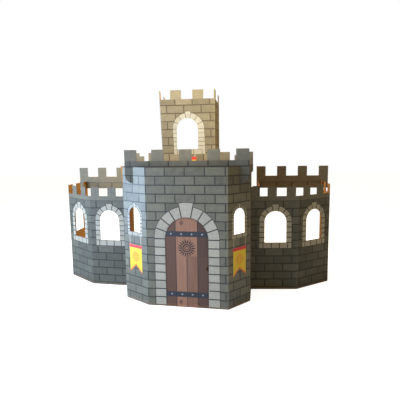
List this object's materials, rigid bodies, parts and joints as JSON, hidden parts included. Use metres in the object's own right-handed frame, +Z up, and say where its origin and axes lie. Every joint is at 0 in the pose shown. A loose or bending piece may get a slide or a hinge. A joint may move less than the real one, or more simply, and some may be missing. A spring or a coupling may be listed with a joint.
{
  "type": "cardboard play castle",
  "caption": "Free-standing play castle of folded and slotted corrugated card: a keep with a cut door, a three-sided tower and two wings with arched windows and battlements",
  "frame": {"origin": "on the floor, at the middle of the castle's footprint", "axes": "+Z up, the door and keep face -Y, +X to the right seen from the front"},
  "size_m": [2.28, 1.0438, 1.505],
  "materials": {
    "printed_card": "matt printed corrugated board, plain brown inside"
  },
  "bodies": {
    "root": {"keep_wall": "printed_card", "tower_sleeve": "printed_card", "left_wing_wall": "printed_card", "right_wing_wall": "printed_card", "left_inner_wall": "printed_card", "right_inner_wall": "printed_card", "keep_front_battlement": "printed_card", "keep_rear_battlement": "printed_card", "left_wing_battlement": "printed_card", "right_wing_battlement": "printed_card"}
  },
  "joints": []
}
